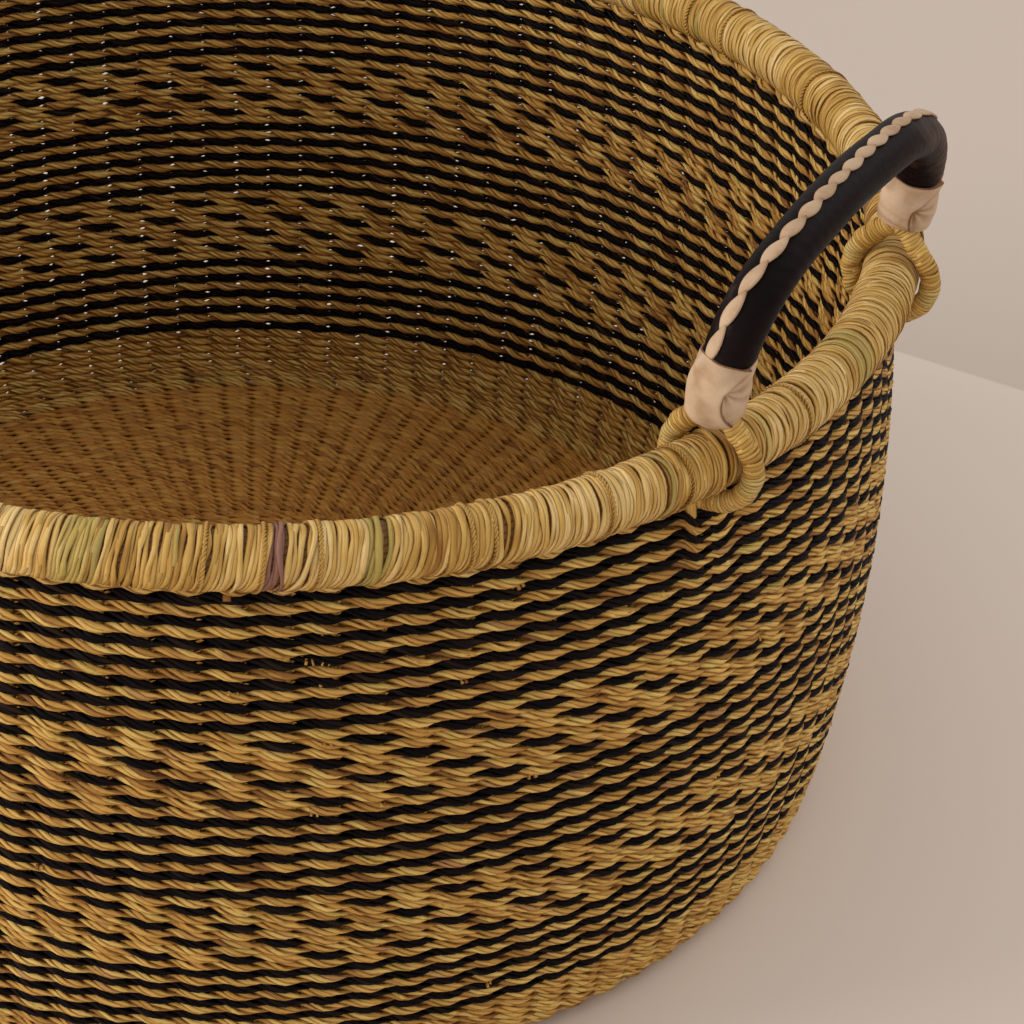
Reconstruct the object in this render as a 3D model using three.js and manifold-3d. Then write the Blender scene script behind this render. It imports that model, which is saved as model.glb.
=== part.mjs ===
// A round basket of twined grass with a thick wrapped rim and two leather-covered side handles.
// Millimetres, +Z up. The basket stands on z = 0 and its axis is the Z axis; the handles are at +X and -X.
import * as THREE from "three";
import { mergeVertices, toCreasedNormals } from "three/addons/utils/BufferGeometryUtils.js";
import Module from "manifold-3d";

const wasm = await Module();
wasm.setup();

// Rim: the stake ends are turned down into a bundle, which is wrapped closely with grass.
const RIM_RADIUS = 240; // circle through the middle of the roll
const RIM_HEIGHT = 233; // middle of the roll above the floor
const RIM_ROLL_RADIUS = 10.5;
const RIM_WRAP_THICKNESS = 2.2;

// Wall: rows of two-strand twining over upright stakes, in bands of stripes and of ticks.
const WALL_THICKNESS = 6.5;
const WALL_INSET = 2.5; // the wall's middle lies this far inside the roll's middle
const BELLY_SWELL = 6.25; // halfway down, the wall stands this far outside its top
const FOOT_INSET = 4.75; // where the foot begins to round under, it lies this far inside its top
const FOOT_ROUNDING = 14;
const FOOT_BAND_HEIGHT = 12.15; // plain rows above the rounding
const LASHING_ROWS = 1; // the plain row that the rim's wrapping catches
const ROW_GROOVE = 1.2; // how far the weave draws in between two rows of the top band, on both faces
const WALL_BANDS = [
  { name: "upper_stripe_band", rows: 14, top: true, color: 0x6d5636 },
  { name: "upper_tick_band", rows: 8, top: false, color: 0xa07b47 },
  { name: "middle_stripe_band", rows: 10, top: false, color: 0x6d5636 },
  { name: "lower_tick_band", rows: 8, top: false, color: 0xa07b47 },
  { name: "lower_stripe_band", rows: 10, top: false, color: 0x6d5636 },
];

// Base: a flat twined disc round the crossing where the weaving starts. The stakes show on it as ridges.
const BASE_THICKNESS = 6.5;
const START_RADIUS = 18;
const STAKES = 104;
const RIDGE_HEIGHT = 1.3;
const RIDGE_FADE_RADIUS = 60; // the ridges run out this far from the middle

// Handles: a rope core in a leather sleeve, laced along its outer seam.
const HANDLE_SPAN_DEGREES = 35; // from loop to loop, seen from the basket's axis
const HANDLE_LEAN_DEGREES = 7.7; // outward from upright, as the handle stands
const HANDLE_RISE = 65.1; // middle of the grip above the top of the roll
const SHOULDER_DROP = 13.6; // how far below the grip's middle line the legs aim
const SHOULDER_INSET = 14.2; // how far inside the loops the flat top begins
const LEG_SWELL = 13.3; // how far outside the loops the legs aim
const LEG_SHIFT = 0.8; // how far outside the loops the legs start
const GRIP_RADIUS = 8.7;
const LEATHER_THICKNESS = 1.9;
const LACE_SCALLOPS = 18;
const LACE_WIDTH = 5;
const LACE_PINCH_WIDTH = 1.8;
const LACE_HEIGHT = 1.9;
const LACE_PINCH_HEIGHT = 0.9;
const LACE_CROWN_SHARE = 0.6; // the lace's top is this much narrower than its foot

// Loops: a rope, wrapped with grass, goes round the rim and back up into each end of the handle.
const LOOP_ROPE_RADIUS = 3.5; // with its wrapping
const LOOP_WRAP_THICKNESS = 1;
const LOOP_LEG_DEGREES = 42; // where the loop's legs leave the circle round the rim
const LOOP_TOP_RADIUS = 4; // bend of the rope where its two legs meet in the cuff

// Cuffs: a leather band grips each end of the sleeve and covers the head of its loop.
const CUFF_COVER = 6.2; // how much of the loop's head is inside the cuff
const CUFF_LENGTH = 23.7;
const CUFF_THICKNESS = 1;
const LEG_START = 2.3; // the handle's middle line starts this far below the cuff

// Clearances.
const FIT_GAP = 0.3; // between neighbours that touch in the real basket
const LOOP_CLEARANCE = 0.9; // between the roll and a loop
const SLOT_CLEARANCE = 0.5; // between a loop and the weave that it passes through

// Facets.
const ROUND_SEGMENTS = 48;
const SLOT_SEGMENTS = 24;
const RIDGE_STITCH = 8; // points of the ridged ring for each one of the base's inner edge
const ROLL_STEPS = 10;
const BUNDLE_STEPS = 7;
const CORNER_STEPS = 4;
const GRIP_SIDES = 12;
const GRIP_STEPS = 22;
const CORE_SIDES = 8;
const CUFF_STEPS = 3;
const LACE_STEPS = 4; // for each scallop
const LOOP_SIDES = 8;
const LOOP_STEPS = 14;
const BEND_STEPS = 4;
const LONGEST_WALL_STEP = 20;
const CREASE_ANGLE = THREE.MathUtils.degToRad(50);
const MERGE_DISTANCE = 1e-4;
const HALVINGS = 40; // in the search for a height along the handle

const WALL_TOP = RIM_HEIGHT - RIM_ROLL_RADIUS;
const WALL_TOP_RADIUS = RIM_RADIUS - WALL_INSET + WALL_THICKNESS / 2; // outside
const BELLY_RADIUS = WALL_TOP_RADIUS + BELLY_SWELL;
const FOOT_RADIUS = WALL_TOP_RADIUS - FOOT_INSET;
const BASE_RADIUS = FOOT_RADIUS - FOOT_ROUNDING;
const ROW_COUNT = WALL_BANDS.reduce((sum, band) => sum + band.rows, LASHING_ROWS);
const ROW_PITCH = (WALL_TOP - FOOT_ROUNDING - FOOT_BAND_HEIGHT) / ROW_COUNT;

const HANDLE_HEIGHT = RIM_ROLL_RADIUS + HANDLE_RISE;
const HALF_SPAN = THREE.MathUtils.degToRad(HANDLE_SPAN_DEGREES / 2);
const HALF_CHORD = RIM_RADIUS * Math.sin(HALF_SPAN);
const CHORD_DISTANCE = RIM_RADIUS * Math.cos(HALF_SPAN);
const CORE_RADIUS = GRIP_RADIUS - LEATHER_THICKNESS - FIT_GAP;

// A loop lies square to the chord between the two loops, so it crosses the roll at half the span.
const LOOP_RADIUS = RIM_ROLL_RADIUS / Math.cos(HALF_SPAN) + LOOP_CLEARANCE + LOOP_ROPE_RADIUS;
const LOOP_LEG = THREE.MathUtils.degToRad(LOOP_LEG_DEGREES);
const LOOP_BEND_HEIGHT = (LOOP_RADIUS - LOOP_TOP_RADIUS) / Math.sin(LOOP_LEG);
const LOOP_HEAD_RADIUS = LOOP_TOP_RADIUS + LOOP_ROPE_RADIUS;
const LOOP_TOP = LOOP_BEND_HEIGHT + LOOP_HEAD_RADIUS;
const CUFF_FOOT = LOOP_TOP - CUFF_COVER;
const CUFF_TOP = CUFF_FOOT + CUFF_LENGTH;

const NATURAL_GRASS = new THREE.MeshStandardMaterial({ color: 0xc09a5c, roughness: 0.75, metalness: 0 });
const RIM_GRASS = new THREE.MeshStandardMaterial({ color: 0xc4a566, roughness: 0.7, metalness: 0 });
const BLACK_LEATHER = new THREE.MeshStandardMaterial({ color: 0x1c1819, roughness: 0.5, metalness: 0 });
const CREAM_LEATHER = new THREE.MeshStandardMaterial({ color: 0xd9b795, roughness: 0.65, metalness: 0 });

// Turns the faces outwards where they point in.
function facingOut(geometry) {
  const position = geometry.attributes.position;
  const index = geometry.index.array;
  const [a, b, c] = [new THREE.Vector3(), new THREE.Vector3(), new THREE.Vector3()];
  let volume = 0;
  for (let i = 0; i < index.length; i += 3) {
    a.fromBufferAttribute(position, index[i]);
    b.fromBufferAttribute(position, index[i + 1]);
    c.fromBufferAttribute(position, index[i + 2]);
    volume += a.dot(b.cross(c));
  }
  if (volume < 0) {
    for (let i = 0; i < index.length; i += 3) {
      const first = index[i];
      index[i] = index[i + 1];
      index[i + 1] = first;
    }
  }
  return geometry;
}

// A body turned round the Z axis. Its outline is given as [radius, height] points.
function turned(outline, segments = ROUND_SEGMENTS) {
  const points = outline.map(([radius, height]) => new THREE.Vector2(radius, height));
  const body = new THREE.LatheGeometry(points, segments);
  body.rotateX(Math.PI / 2);
  body.deleteAttribute("normal");
  body.deleteAttribute("uv");
  return facingOut(mergeVertices(body, MERGE_DISTANCE));
}

function ringOf(section, segments) {
  return turned([...section, section[0]], segments);
}

function discOf(radius, thickness) {
  return turned([[0, 0], [radius, 0], [radius, thickness], [0, thickness]]);
}

// Joins rings of points, each with the same number of points, into one skin.
// A closed skin runs on from its last ring to its first; an open one gets a cap at each end.
function skinOver(rings, closed) {
  const sides = rings[0].length;
  const points = rings.flat();
  const index = [];
  const joins = closed ? rings.length : rings.length - 1;
  for (let i = 0; i < joins; i++) {
    const here = i * sides;
    const next = ((i + 1) % rings.length) * sides;
    for (let k = 0; k < sides; k++) {
      const after = (k + 1) % sides;
      index.push(here + k, next + k, next + after);
      index.push(here + k, next + after, here + after);
    }
  }
  if (!closed) {
    const last = (rings.length - 1) * sides;
    for (let k = 1; k < sides - 1; k++) {
      index.push(0, k, k + 1);
      index.push(last, last + k + 1, last + k);
    }
  }
  const skin = new THREE.BufferGeometry();
  skin.setAttribute("position", new THREE.Float32BufferAttribute(points.flatMap((p) => p.toArray()), 3));
  skin.setIndex(index);
  return facingOut(skin);
}

function solidOf(geometry) {
  return new wasm.Manifold(
    new wasm.Mesh({
      numProp: 3,
      vertProperties: new Float32Array(geometry.attributes.position.array),
      triVerts: new Uint32Array(geometry.index.array),
    }),
  );
}

function geometryOf(solid) {
  const mesh = solid.getMesh();
  const geometry = new THREE.BufferGeometry();
  geometry.setAttribute("position", new THREE.BufferAttribute(new Float32Array(mesh.vertProperties), 3));
  geometry.setIndex(new THREE.BufferAttribute(new Uint32Array(mesh.triVerts), 1));
  return geometry;
}

function piece(name, geometry, material) {
  const mesh = new THREE.Mesh(toCreasedNormals(geometry, CREASE_ANGLE), material);
  mesh.name = name;
  return mesh;
}

function evenly(from, to, steps) {
  return Array.from({ length: steps + 1 }, (_, i) => from + ((to - from) * i) / steps);
}

// Outside of the wall: a parabola through the top, the belly and the foot, then the foot's rounding.
function outsideRadius(height) {
  if (height < FOOT_ROUNDING) {
    const drop = FOOT_ROUNDING - height;
    return BASE_RADIUS + Math.sqrt(Math.max(FOOT_ROUNDING ** 2 - drop ** 2, 0));
  }
  const down = Math.max(WALL_TOP - height, 0) / (WALL_TOP - FOOT_ROUNDING);
  return (
    WALL_TOP_RADIUS * (1 - down) * (1 - 2 * down) +
    BELLY_RADIUS * 4 * down * (1 - down) +
    FOOT_RADIUS * down * (2 * down - 1)
  );
}

function insideRadius(height) {
  return outsideRadius(height) - WALL_THICKNESS;
}

// A band of the wall between two heights. Where it is ribbed, each of its rows stands out as a rib.
function bandOf(low, high, ribs = 0) {
  const heights = evenly(low, high, ribs > 0 ? 2 * ribs : Math.ceil((high - low) / LONGEST_WALL_STEP));
  const groove = (i) => (ribs > 0 && i % 2 === 0 ? ROW_GROOVE : 0);
  const outside = heights.map((height, i) => [outsideRadius(height) - groove(i), height]);
  const inside = heights.map((height, i) => [insideRadius(height) + groove(i), height]).reverse();
  return ringOf([...outside, ...inside]);
}

// The weave opens where the loops pass through it, with room for them to turn.
function loopSlots() {
  const inner = LOOP_RADIUS - LOOP_ROPE_RADIUS - SLOT_CLEARANCE;
  const outer = LOOP_RADIUS + LOOP_ROPE_RADIUS + SLOT_CLEARANCE;
  const half = LOOP_ROPE_RADIUS + SLOT_CLEARANCE;
  const washer = ringOf([[inner, -half], [outer, -half], [outer, half], [inner, half]], SLOT_SEGMENTS);
  washer.rotateX(Math.PI / 2);
  const places = [1, -1].flatMap((side) => [1, -1].map((end) => [side * CHORD_DISTANCE, end * HALF_CHORD]));
  return places.map(([x, y]) => solidOf(washer.clone().translate(x, y, RIM_HEIGHT)));
}

function withSlots(geometry) {
  return geometryOf(loopSlots().reduce((solid, slot) => solid.subtract(slot), solidOf(geometry)));
}

// The lashing row reaches up through the mouth of the rim's wrapping; the bands follow below it.
function wallPieces() {
  const pieces = [];
  let top = WALL_TOP - LASHING_ROWS * ROW_PITCH;
  const lashing = bandOf(top, WALL_TOP + RIM_WRAP_THICKNESS);
  pieces.push(piece("lashing_row", withSlots(lashing), NATURAL_GRASS));
  for (const { name, rows, top: isTop, color } of WALL_BANDS) {
    const foot = top - rows * ROW_PITCH;
    const band = bandOf(foot, top - FIT_GAP, isTop ? rows : 0);
    const grass = new THREE.MeshStandardMaterial({ color, roughness: 0.75, metalness: 0 });
    pieces.push(piece(name, isTop ? withSlots(band) : band, grass));
    top = foot;
  }
  pieces.push(piece("foot_band", footBand(top - FIT_GAP), NATURAL_GRASS));
  return pieces;
}

// The plain band that rounds under into the base.
function footBand(top) {
  const outside = [];
  const inside = [];
  for (const turn of evenly(0, Math.PI / 2, CORNER_STEPS)) {
    const out = turn === 0 ? FIT_GAP : FOOT_ROUNDING * Math.sin(turn);
    outside.push([BASE_RADIUS + out, FOOT_ROUNDING * (1 - Math.cos(turn))]);
    const outInside = turn === 0 ? FIT_GAP : (FOOT_ROUNDING - WALL_THICKNESS) * Math.sin(turn);
    const dropInside = (FOOT_ROUNDING - BASE_THICKNESS) * Math.cos(turn);
    inside.push([BASE_RADIUS + outInside, FOOT_ROUNDING - dropInside]);
  }
  outside.push([outsideRadius(top), top]);
  inside.push([insideRadius(top), top]);
  return ringOf([...outside, ...inside.reverse()]);
}

function circleOf(count, radius, heightOf) {
  return Array.from({ length: count }, (_, k) => {
    const turn = (k / count) * 2 * Math.PI;
    return new THREE.Vector3(radius * Math.cos(turn), radius * Math.sin(turn), heightOf(k));
  });
}

// The base's ring: flat underneath, with a ridge on top over each stake that fades out towards the middle.
// Its outer edge has a point for each ridge and each hollow, and its inner edge fewer, so fans join the two.
function ridgedBase() {
  const low = BASE_THICKNESS - RIDGE_HEIGHT;
  const many = 2 * STAKES;
  const few = many / RIDGE_STITCH;
  const outer = BASE_RADIUS * Math.cos(Math.PI / ROUND_SEGMENTS);
  const circles = [
    circleOf(many, outer, () => 0),
    circleOf(many, outer, (k) => (k % 2 === 0 ? BASE_THICKNESS : low)),
    circleOf(many, RIDGE_FADE_RADIUS, () => low),
    circleOf(few, START_RADIUS + FIT_GAP, () => low),
    circleOf(few, START_RADIUS + FIT_GAP, () => 0),
  ];
  const starts = circles.map((_, i) => circles.slice(0, i).reduce((sum, circle) => sum + circle.length, 0));
  const index = [];
  const join = (a, b) => {
    for (let k = 0; k < circles[a].length; k++) {
      const after = (k + 1) % circles[a].length;
      index.push(starts[a] + k, starts[a] + after, starts[b] + after, starts[a] + k, starts[b] + after, starts[b] + k);
    }
  };
  const fan = (wide, narrow, sense) => {
    for (let j = 0; j < few; j++) {
      const hub = starts[narrow] + j;
      const next = starts[narrow] + ((j + 1) % few);
      const at = (k) => starts[wide] + ((k + many) % many);
      const last = (j + 0.5) * RIDGE_STITCH;
      const corners = [[at(last), next, hub]];
      for (let k = last - RIDGE_STITCH; k < last; k++) corners.push([at(k), at(k + 1), hub]);
      for (const [a, b, c] of corners) index.push(...(sense > 0 ? [a, b, c] : [a, c, b]));
    }
  };
  join(0, 1);
  join(1, 2);
  fan(2, 3, 1);
  join(3, 4);
  fan(0, 4, -1);
  const ring = new THREE.BufferGeometry();
  ring.setAttribute("position", new THREE.Float32BufferAttribute(circles.flat().flatMap((p) => p.toArray()), 3));
  ring.setIndex(index);
  return facingOut(ring);
}

function basePieces() {
  return [
    piece("base_start", discOf(START_RADIUS, BASE_THICKNESS - RIDGE_HEIGHT), NATURAL_GRASS),
    piece("base_weave", ridgedBase(), NATURAL_GRASS),
  ];
}

// The wrapping is open underneath, where the wall's top row runs up to the bundle.
function rimPieces() {
  const wrapInside = RIM_ROLL_RADIUS - RIM_WRAP_THICKNESS;
  const mouthOut = WALL_THICKNESS / 2 - WALL_INSET + FIT_GAP;
  const mouthIn = WALL_THICKNESS / 2 + WALL_INSET + FIT_GAP;
  // Points on a circle in the roll's section, from the mouth's outer lip over the top to its inner lip.
  const sweep = (radius, steps) => {
    const from = -Math.PI / 2 + Math.asin(mouthOut / radius);
    const to = (3 * Math.PI) / 2 - Math.asin(mouthIn / radius);
    return evenly(from, to, steps).map((turn) => [radius * Math.cos(turn), radius * Math.sin(turn)]);
  };
  const onRim = ([out, up]) => [RIM_RADIUS + out, RIM_HEIGHT + up];
  const outside = sweep(RIM_ROLL_RADIUS, ROLL_STEPS);
  const inside = sweep(wrapInside, BUNDLE_STEPS);
  const shrink = 1 - FIT_GAP / wrapInside;
  const bundle = inside.map(([out, up]) => [out * shrink, up * shrink]);
  return [
    piece("rim_bundle", ringOf(bundle.map(onRim)), NATURAL_GRASS),
    piece("rim_wrapping", ringOf([...outside, ...inside.reverse()].map(onRim)), RIM_GRASS),
  ];
}

// The middle line of a handle in its own plane: Y along the chord between the loops, Z up from the chord.
function archCurve() {
  const side = (sign) => [
    new THREE.Vector3(0, sign * (HALF_CHORD + LEG_SHIFT), CUFF_FOOT - LEG_START),
    new THREE.Vector3(0, sign * (HALF_CHORD + LEG_SWELL), HANDLE_HEIGHT - SHOULDER_DROP),
    new THREE.Vector3(0, sign * (HALF_CHORD - SHOULDER_INSET), HANDLE_HEIGHT),
  ];
  const top = new THREE.Vector3(0, 0, HANDLE_HEIGHT);
  const curve = new THREE.CurvePath();
  curve.add(new THREE.CubicBezierCurve3(...side(-1), top));
  curve.add(new THREE.CubicBezierCurve3(top, ...side(1).reverse()));
  return curve;
}

const arch = archCurve();
const ACROSS = new THREE.Vector3(1, 0, 0); // square to the handle's plane

// How far along the arch, from 0 to a half, it first reaches a height.
function alongAt(height) {
  let [low, high] = [0, 0.5];
  for (let i = 0; i < HALVINGS; i++) {
    const middle = (low + high) / 2;
    if (arch.getPoint(middle).z < height) low = middle;
    else high = middle;
  }
  return low;
}

// The arch's outward direction in its plane.
function outwardAt(along) {
  const tangent = arch.getTangent(along);
  return new THREE.Vector3(0, -tangent.z, tangent.y);
}

// The corners lie beside the outward direction, so a flat side faces out there.
function archRing(along, radius, sides) {
  const middle = arch.getPoint(along);
  const outward = outwardAt(along);
  return Array.from({ length: sides }, (_, k) => {
    const turn = ((k + 0.5) / sides) * 2 * Math.PI;
    return middle
      .clone()
      .addScaledVector(outward, radius * Math.cos(turn))
      .addScaledVector(ACROSS, radius * Math.sin(turn));
  });
}

// The handle's tube between two places along the arch, its radii given at each place.
function archTube(places, outer, inner) {
  const out = places.map((along, i) => archRing(along, outer[i], GRIP_SIDES));
  const back = places.map((along, i) => archRing(along, inner[i], GRIP_SIDES)).reverse();
  return skinOver([...out, ...back], true);
}

// The loop's middle line: most of a circle round the rim, then two straight legs that meet in a bend.
// Each point is [across the rim, up, direction of the outside].
function loopLine() {
  const round = (turn) => [LOOP_RADIUS * Math.cos(turn), LOOP_RADIUS * Math.sin(turn), turn];
  const bend = (turn) => [
    LOOP_TOP_RADIUS * Math.cos(turn),
    LOOP_BEND_HEIGHT + LOOP_TOP_RADIUS * Math.sin(turn),
    turn,
  ];
  return {
    lower: evenly(Math.PI - LOOP_LEG, 2 * Math.PI + LOOP_LEG, LOOP_STEPS).map(round),
    upper: evenly(LOOP_LEG, Math.PI - LOOP_LEG, BEND_STEPS).map(bend),
  };
}

function loopRing([across, up, turn], radius, end) {
  return Array.from({ length: LOOP_SIDES }, (_, k) => {
    const around = (k / LOOP_SIDES) * 2 * Math.PI;
    const out = radius * Math.cos(around);
    return new THREE.Vector3(
      across + out * Math.cos(turn),
      end * HALF_CHORD + radius * Math.sin(around),
      up + out * Math.sin(turn),
    );
  });
}

function loopCore(end) {
  const { lower, upper } = loopLine();
  const radius = LOOP_ROPE_RADIUS - LOOP_WRAP_THICKNESS - FIT_GAP;
  return skinOver([...lower, ...upper].map((point) => loopRing(point, radius, end)), true);
}

// The wrapping runs from one side of the bend, down round the rim, to the bend's other side.
function loopWrap(end) {
  const { lower, upper } = loopLine();
  const points = [upper.at(-1), ...lower, upper[0]];
  const outside = points.map((point) => loopRing(point, LOOP_ROPE_RADIUS, end));
  const inside = points.map((point) => loopRing(point, LOOP_ROPE_RADIUS - LOOP_WRAP_THICKNESS, end));
  return skinOver([...outside, ...inside.reverse()], true);
}

// The cuff's foot is wide enough for the loop's two legs, and its head grips the sleeve.
function cuffGeometry(end) {
  const places = evenly(alongAt(CUFF_FOOT), alongAt(CUFF_TOP), CUFF_STEPS);
  const legs = (LOOP_HEAD_RADIUS - (CUFF_FOOT - LOOP_BEND_HEIGHT) * Math.sin(LOOP_LEG)) / Math.cos(LOOP_LEG);
  const footRadius = (legs + FIT_GAP) / Math.cos(Math.PI / GRIP_SIDES);
  const inner = evenly(footRadius, GRIP_RADIUS + FIT_GAP, CUFF_STEPS);
  const outer = inner.map((radius) => radius + CUFF_THICKNESS);
  return archTube(places.map((along) => (end < 0 ? along : 1 - along)), outer, inner);
}

// The lace is whipped along the sleeve's seam on the outside of the arch, pinched at each stitch.
function laceGeometry() {
  const from = alongAt(CUFF_TOP + CUFF_THICKNESS);
  const seat = GRIP_RADIUS + FIT_GAP;
  const rings = evenly(from, 1 - from, LACE_SCALLOPS * LACE_STEPS).map((along, i) => {
    const swell = Math.sin((Math.PI * (i % LACE_STEPS)) / LACE_STEPS);
    const half = (LACE_PINCH_WIDTH + (LACE_WIDTH - LACE_PINCH_WIDTH) * swell) / 2;
    const crown = half * LACE_CROWN_SHARE;
    const height = LACE_PINCH_HEIGHT + (LACE_HEIGHT - LACE_PINCH_HEIGHT) * swell;
    const middle = arch.getPoint(along);
    const outward = outwardAt(along);
    return [[-half, 0], [half, 0], [crown, height], [-crown, height]].map(([across, up]) =>
      middle.clone().addScaledVector(ACROSS, across).addScaledVector(outward, seat + up),
    );
  });
  return skinOver(rings, false);
}

// The core and its sleeve stand on the heads of the loops.
function gripPieces(side) {
  const tilt = Math.abs(arch.getTangent(alongAt(LOOP_TOP)).y);
  const foot = alongAt(LOOP_TOP + GRIP_RADIUS * tilt + FIT_GAP);
  const places = evenly(foot, 1 - foot, GRIP_STEPS);
  const outer = places.map(() => GRIP_RADIUS);
  const inner = places.map(() => GRIP_RADIUS - LEATHER_THICKNESS);
  const core = skinOver(places.map((along) => archRing(along, CORE_RADIUS, CORE_SIDES)), false);
  return [
    piece(side + "_handle_core", core, NATURAL_GRASS),
    piece(side + "_handle_sleeve", archTube(places, outer, inner), BLACK_LEATHER),
    piece(side + "_handle_lace", laceGeometry(), CREAM_LEATHER),
  ];
}

function handle(side, turn) {
  const leaning = new THREE.Group();
  leaning.position.set(CHORD_DISTANCE, 0, RIM_HEIGHT);
  leaning.rotation.y = THREE.MathUtils.degToRad(HANDLE_LEAN_DEGREES);
  leaning.add(...gripPieces(side));
  for (const [place, end] of [["near", -1], ["far", 1]]) {
    const name = side + "_" + place;
    leaning.add(piece(name + "_cuff", cuffGeometry(end), CREAM_LEATHER));
    leaning.add(piece(name + "_loop", loopCore(end), NATURAL_GRASS));
    leaning.add(piece(name + "_loop_wrap", loopWrap(end), RIM_GRASS));
  }
  const placed = new THREE.Group();
  placed.rotation.z = turn;
  placed.add(leaning);
  return placed;
}

const basket = new THREE.Group();
basket.add(...basePieces());
basket.add(...wallPieces());
basket.add(...rimPieces());
basket.add(handle("right", 0));
basket.add(handle("left", Math.PI));

export default basket;
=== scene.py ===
# A round floor basket of twined grass, striped in black, with two leather-covered handles.
# Metres, +Z up. The basket stands on z = 0 and its axis is the Z axis; the handles are at +X and -X.
import math

import bpy
import numpy as np
from mathutils import Matrix, Vector


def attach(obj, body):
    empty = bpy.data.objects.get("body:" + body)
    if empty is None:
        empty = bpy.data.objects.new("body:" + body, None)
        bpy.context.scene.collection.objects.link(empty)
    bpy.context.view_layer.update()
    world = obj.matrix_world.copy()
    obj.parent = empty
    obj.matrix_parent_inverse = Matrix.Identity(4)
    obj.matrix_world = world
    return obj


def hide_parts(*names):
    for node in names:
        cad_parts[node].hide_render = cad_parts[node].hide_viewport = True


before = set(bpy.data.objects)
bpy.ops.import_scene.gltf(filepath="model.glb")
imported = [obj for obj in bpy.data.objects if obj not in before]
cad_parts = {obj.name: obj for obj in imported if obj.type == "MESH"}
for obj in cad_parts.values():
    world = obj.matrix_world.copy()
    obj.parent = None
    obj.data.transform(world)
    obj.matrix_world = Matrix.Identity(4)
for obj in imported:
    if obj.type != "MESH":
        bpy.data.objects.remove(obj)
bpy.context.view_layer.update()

# Stakes: 104 upright bundles of grass that carry the wall, each two or three straws laid together.
# They run on under the base towards its middle, where some end, and up into the rim's roll.
# Undyed grass; they show only as short glints between the rows.
MM = 0.001
STAKES = 104
STAKE_HALF_WIDTH = 2.2 * MM
STAKE_HALF_THICKNESS = 1.6 * MM
STAKE_SHIFT = math.pi / STAKES  # keeps the stakes clear of the handles' loops
STAKE_RUN_IN = 118 * MM  # how far a stake runs in under the base
STAKE_SIDES = 8
STRAW_SIDES = 4
RIM_RADIUS = 240 * MM  # circle through the middle of the rim's roll
RIM_HEIGHT = 233 * MM
ROLL_RADIUS = 10.5 * MM
WALL_HALF = 3.25 * MM
WALL_TOP = RIM_HEIGHT - ROLL_RADIUS
WALL_TOP_RADIUS = 237.5 * MM  # middle of the wall
BELLY_RADIUS = 243.75 * MM
FOOT_RADIUS = 232.75 * MM
FOOT_ROUNDING = 14 * MM
CORNER_RADIUS = FOOT_ROUNDING - WALL_HALF
BASE_RADIUS = FOOT_RADIUS - CORNER_RADIUS
BASE_HEIGHT = WALL_HALF
UP = np.array([0, 0, 1.0])


def wall_radius(height):
    """Middle of the wall: a parabola through its top, its belly and its foot."""
    down = np.clip((WALL_TOP - height) / (WALL_TOP - FOOT_ROUNDING), 0, 1)
    return (
        WALL_TOP_RADIUS * (1 - down) * (1 - 2 * down)
        + BELLY_RADIUS * 4 * down * (1 - down)
        + FOOT_RADIUS * down * (2 * down - 1)
    )


def colour(red, green, blue):
    """A colour as it is seen, from 0 to 255, as the renderer wants it."""
    seen = np.array([red, green, blue]) / 255
    light = np.where(seen <= 0.04045, seen / 12.92, ((seen + 0.055) / 1.055) ** 2.4)
    return (*light, 1.0)


def set_inputs(owner, node, inputs):
    """Gives each named input of a node a value, or joins it to another node's output."""
    for name, value in inputs.items():
        if isinstance(value, bpy.types.NodeSocket):
            owner.node_tree.links.new(value, node.inputs[name])
        else:
            node.inputs[name].default_value = value


def add_node(material, kind, inputs, output, **settings):
    """Adds a node to a material and returns one of its outputs."""
    node = material.node_tree.nodes.new("ShaderNode" + kind)
    for setting, value in settings.items():
        setattr(node, setting, value)
    set_inputs(material, node, inputs)
    return node.outputs[output]


def add_range(material, value, low, high, start=0.0, end=1.0, **settings):
    """A value that goes from low to high while the given one goes from start to end."""
    inputs = {"Value": value, "From Min": start, "From Max": end, "To Min": low, "To Max": high}
    return add_node(material, "MapRange", inputs, "Result", **settings)


def add_shades(material, tone, shades):
    """The colour for a tone, from a list of (tone, red, green, blue)."""
    ramp = material.node_tree.nodes.new("ShaderNodeValToRGB")
    points = ramp.color_ramp.elements
    while len(points) < len(shades):
        points.new(0.5)
    for point, (place, *seen) in zip(points, shades):
        point.position = place
        point.color = colour(*seen)
    set_inputs(material, ramp, {"Fac": tone})
    return ramp.outputs["Color"]


def new_material(name):
    material = bpy.data.materials.new(name)
    material.use_nodes = True
    return material, material.node_tree.nodes["Principled BSDF"]


# Painted shade: the edges of each straw are painted darker with this warm tint.
PAINTED_SHADE_TINT = (0.3, 0.17, 0.06)  # what is left of a straw's red, green and blue in a shadow
STREAK_STEP = 7.3  # from one straw's streaks to the next one's, in the noise


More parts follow.
